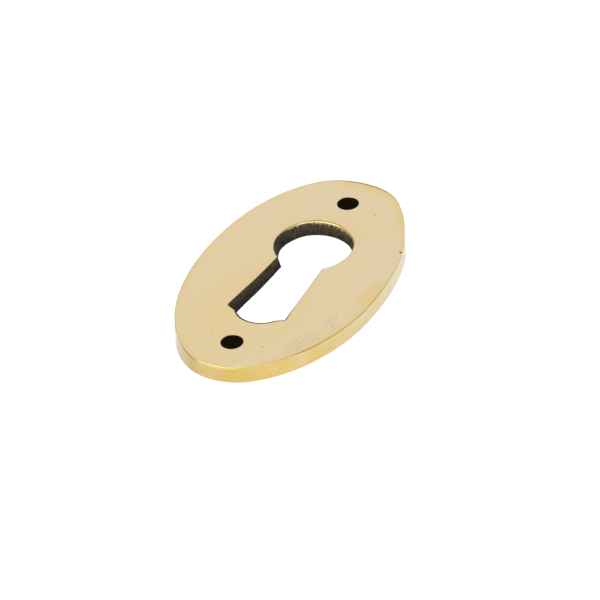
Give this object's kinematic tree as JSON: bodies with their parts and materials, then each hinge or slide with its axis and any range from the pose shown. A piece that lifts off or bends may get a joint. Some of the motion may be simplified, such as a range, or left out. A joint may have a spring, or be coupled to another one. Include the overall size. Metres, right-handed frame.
{
  "type": "keyhole escutcheon",
  "caption": "Flat oval brass plate with a flared keyhole in the middle and a screw hole near each tip, fixed over a lock to frame and protect the keyhole.",
  "frame": {"origin": "centre of the flat back face, midway between the two screw holes", "axes": "+Y towards the keyhole's round head, +Z out of the polished front face, +X to the right seen from the front"},
  "size_m": [0.0304, 0.051, 0.0025],
  "materials": {
    "polished_brass": "polished front and rim, dark unpolished casting skin inside the keyhole"
  },
  "bodies": {
    "root": {"escutcheon_plate": "polished_brass"}
  },
  "joints": []
}
